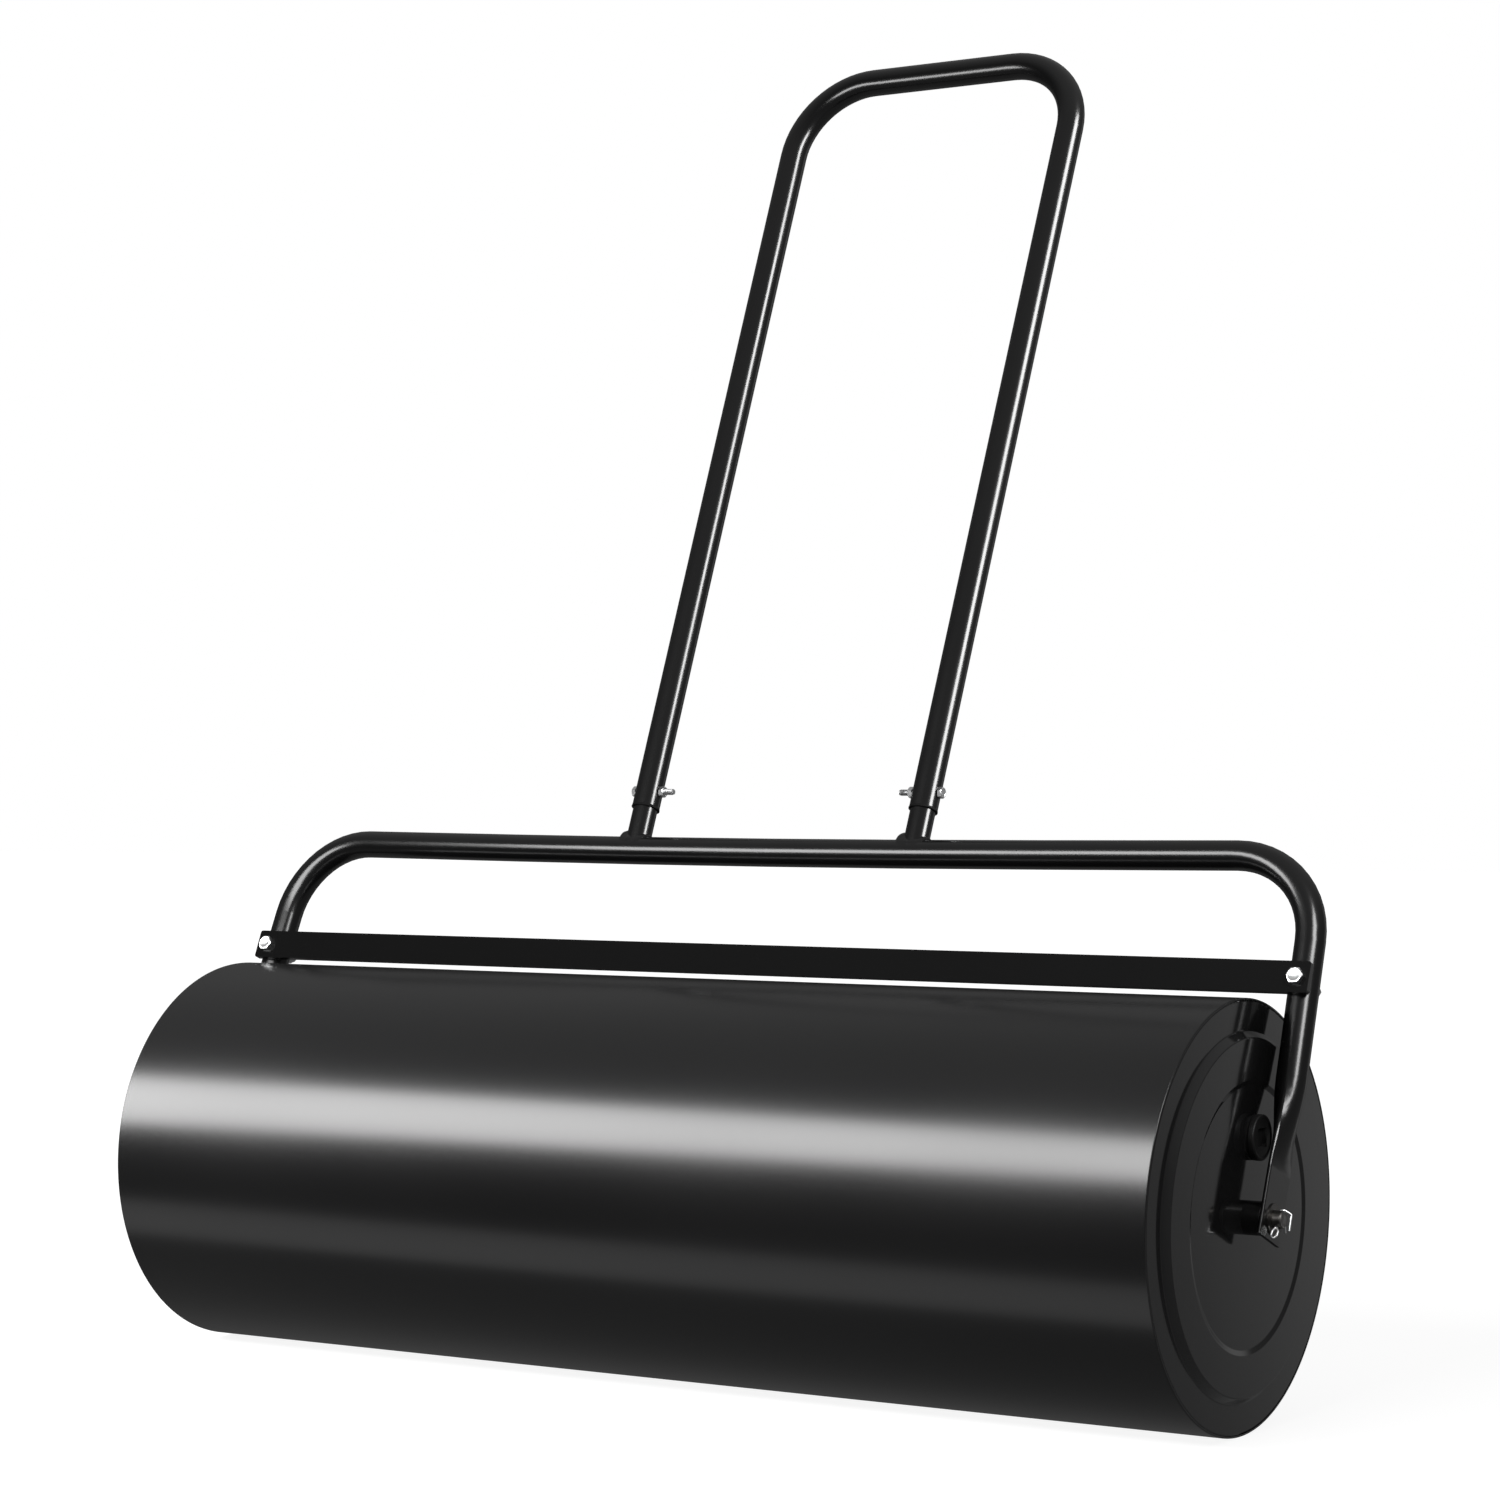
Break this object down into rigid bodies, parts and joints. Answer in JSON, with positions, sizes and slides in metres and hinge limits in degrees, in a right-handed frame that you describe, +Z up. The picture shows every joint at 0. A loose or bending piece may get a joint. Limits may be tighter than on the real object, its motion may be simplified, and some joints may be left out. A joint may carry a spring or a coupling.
{
  "type": "lawn roller",
  "caption": "Walk-behind lawn roller: hollow steel drum with pressed end caps turning on an axle in a bent-tube yoke with a scraper bar and a U-shaped push handle.",
  "frame": {"origin": "on the ground, straight below the middle of the drum's axis", "axes": "+Z up; X along the drum's axis, with the water filler on the +X end; the handle leans back towards +Y"},
  "size_m": [0.9692, 0.5416, 1.0638],
  "materials": {
    "drum_paint": "satin black paint on rolled steel sheet",
    "cap_paint": "semi-gloss black paint on pressed steel",
    "frame_paint": "semi-gloss black powder coat on steel tube",
    "weld_paint": "black powder coat over a weld bead",
    "zinc": "bright zinc plate",
    "axle_steel": "oiled dark steel",
    "nylon": "dark nylon",
    "plug_plastic": "moulded black plastic",
    "rubber": "black sealing rubber"
  },
  "bodies": {
    "frame": {"yoke_tube": "frame_paint", "handle_stub_right": "frame_paint", "handle_stub_left": "frame_paint", "stub_welds": "weld_paint", "handle_tube": "frame_paint", "handle_bolts": "zinc", "handle_nuts": "zinc", "scraper_bar": "frame_paint", "scraper_bolts": "zinc", "scraper_nuts": "zinc", "axle_rod": "axle_steel", "inner_washers": "axle_steel", "outer_washers": "axle_steel", "split_pin_right": "zinc", "split_pin_left": "zinc"},
    "drum": {"drum_shell": "drum_paint", "end_cap_right": "cap_paint", "end_cap_left": "cap_paint", "axle_sleeve": "frame_paint", "bushing_right": "nylon", "bushing_left": "nylon", "filler_boss": "cap_paint"},
    "plug_seal": {"plug_gasket": "rubber"},
    "plug": {"filler_plug": "plug_plastic"}
  },
  "joints": [
    {"name": "drum_spin", "type": "hinge", "parent": "frame", "child": "drum", "pos_m": [0, 0, 0.152], "axis": [1, 0, 0], "continuous": true},
    {"name": "plug_out", "type": "slide", "parent": "drum", "child": "plug_seal", "axis": [1, 0, 0], "range_m": [0, 0.0015]},
    {"name": "plug_turn", "type": "hinge", "parent": "plug_seal", "child": "plug", "pos_m": [0.4555, 0.009, 0.20697], "axis": [1, 0, 0], "range_deg": [0, 360]}
  ],
  "couplings": [
    {"joint": "plug_out", "follows": "plug_turn", "m_per_rad": 0.0002387}
  ]
}
